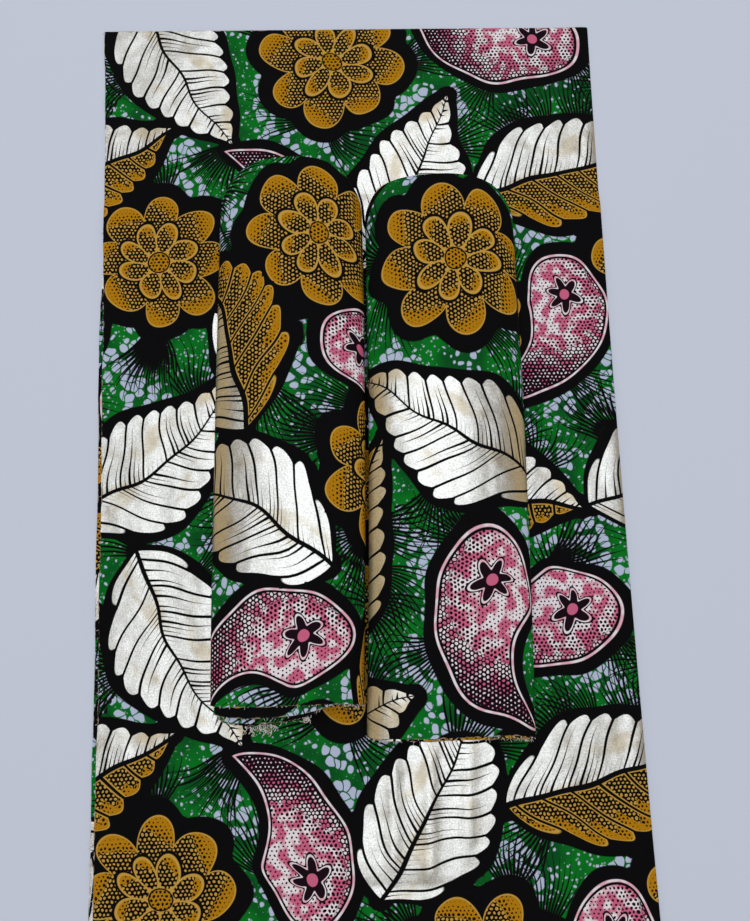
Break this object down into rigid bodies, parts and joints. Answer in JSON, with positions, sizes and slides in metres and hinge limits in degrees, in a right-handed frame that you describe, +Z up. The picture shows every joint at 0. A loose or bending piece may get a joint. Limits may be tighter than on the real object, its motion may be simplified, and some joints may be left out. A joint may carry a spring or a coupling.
{
  "type": "wax print fabric",
  "caption": "Market set of printed cotton cloth: a doubled length laid flat with its end turned under, and soft flat rolls of the same cloth lying side by side on it.",
  "frame": {"origin": "middle of the outline of the laid cloth, on the surface that it lies on", "axes": "+Y along the doubled length towards its open cut end, where the rolls have their folds; +X towards the fold of the base; +Z up"},
  "size_m": [0.5529, 1.032, 0.0445],
  "materials": {
    "printed_cloth": "printed cotton with a metallic foil in places",
    "foil_printed_cloth": "printed cotton, much of it under a metallic foil",
    "printed_cloth_inside": "printed cotton"
  },
  "bodies": {
    "root": {"base_cloth": "printed_cloth", "base_tail": "printed_cloth", "left_wrap": "foil_printed_cloth", "left_core": "printed_cloth_inside", "right_wrap": "foil_printed_cloth", "right_core": "printed_cloth_inside"}
  },
  "joints": []
}
